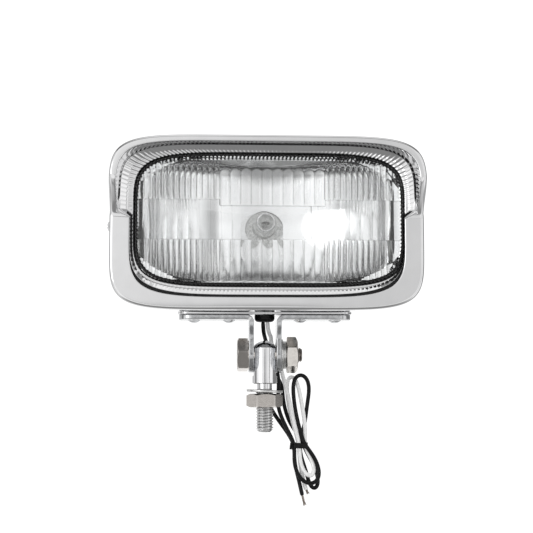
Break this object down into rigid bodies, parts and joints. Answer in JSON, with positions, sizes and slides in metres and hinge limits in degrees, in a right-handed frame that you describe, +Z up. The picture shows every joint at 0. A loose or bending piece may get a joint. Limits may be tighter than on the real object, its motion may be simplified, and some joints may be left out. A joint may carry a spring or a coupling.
{
  "type": "fog light",
  "caption": "Rectangular visored fog light on a tilting swivel post with a threaded mounting stud, washer, nut and tied leads.",
  "frame": {"origin": "centre of the post's seat, the flat shoulder that stands on the vehicle's bracket", "axes": "+Z up along the post, the lamp faces -Y, +X is to the right as seen from the front"},
  "size_m": [0.167, 0.079, 0.1929],
  "materials": {
    "bezel_chrome": "polished chrome plate",
    "housing_chrome": "polished chrome plate",
    "clear_glass": "clear pressed glass with flutes",
    "gasket_rubber": "black ribbed rubber",
    "reflector_silver": "vacuum-metallised reflector",
    "bulb_glass": "clear quartz",
    "tungsten": "dull tungsten wire",
    "bulb_metal": "pressed steel",
    "spring_steel": "drawn spring wire",
    "grommet_rubber": "black moulded rubber",
    "bracket_zinc": "bright zinc plate",
    "rivet_zinc": "bright zinc plate",
    "bolt_nickel": "nickel plate with a warm tint",
    "post_chrome": "polished chrome plate",
    "washer_zinc": "bright zinc plate",
    "black_pvc": "black wire insulation",
    "white_pvc": "white wire insulation",
    "copper": "tinned copper strands",
    "tie_plastic": "black twist tie"
  },
  "bodies": {
    "post": {"swivel_post": "post_chrome", "lead_hank": "black_pvc", "lead_tie": "tie_plastic", "black_lead_tail": "black_pvc", "white_lead_tail": "white_pvc", "black_conductor": "copper", "white_conductor": "copper"},
    "lamp_head": {"visor_bezel": "bezel_chrome", "rear_housing": "housing_chrome", "lens": "clear_glass", "lens_gasket": "gasket_rubber", "reflector": "reflector_silver", "lens_clips": "spring_steel", "bulb_glass": "bulb_glass", "bulb_filament": "tungsten", "bulb_base": "bulb_metal", "bulb_holder": "bulb_metal", "bulb_clip": "spring_steel", "bulb_wire": "white_pvc", "earth_wire": "black_pvc", "earth_terminal": "bulb_metal", "earth_screw": "rivet_zinc", "bezel_screws": "bezel_chrome", "bezel_nut_clips": "spring_steel", "wire_grommet": "grommet_rubber", "bracket_left": "bracket_zinc", "bracket_right": "bracket_zinc", "bracket_rivets": "rivet_zinc", "pivot_bolt": "bolt_nickel", "pivot_flat_washer": "washer_zinc", "pivot_lock_washer": "washer_zinc", "pivot_nut": "bolt_nickel", "black_lead": "black_pvc", "white_lead": "white_pvc"},
    "clamp_washer": {"stud_washer": "washer_zinc"},
    "clamp_nut": {"stud_nut": "bolt_nickel"}
  },
  "joints": [
    {"name": "lamp_tilt", "type": "hinge", "parent": "post", "child": "lamp_head", "pos_m": [0, 0, 0.0155], "axis": [1, 0, 0], "range_deg": [-40, 40], "deforming": ["black_lead", "white_lead"]},
    {"name": "washer_slide", "type": "slide", "parent": "post", "child": "clamp_washer", "axis": [0, 0, 1], "range_m": [-0.0121, 0.0024]},
    {"name": "nut_turn", "type": "hinge", "parent": "clamp_washer", "child": "clamp_nut", "pos_m": [0, 0, -0.009], "axis": [0, 0, 1], "range_deg": [-2880, 540]}
  ],
  "couplings": [
    {"joint": "washer_slide", "follows": "nut_turn", "m_per_rad": 0.00023873}
  ]
}
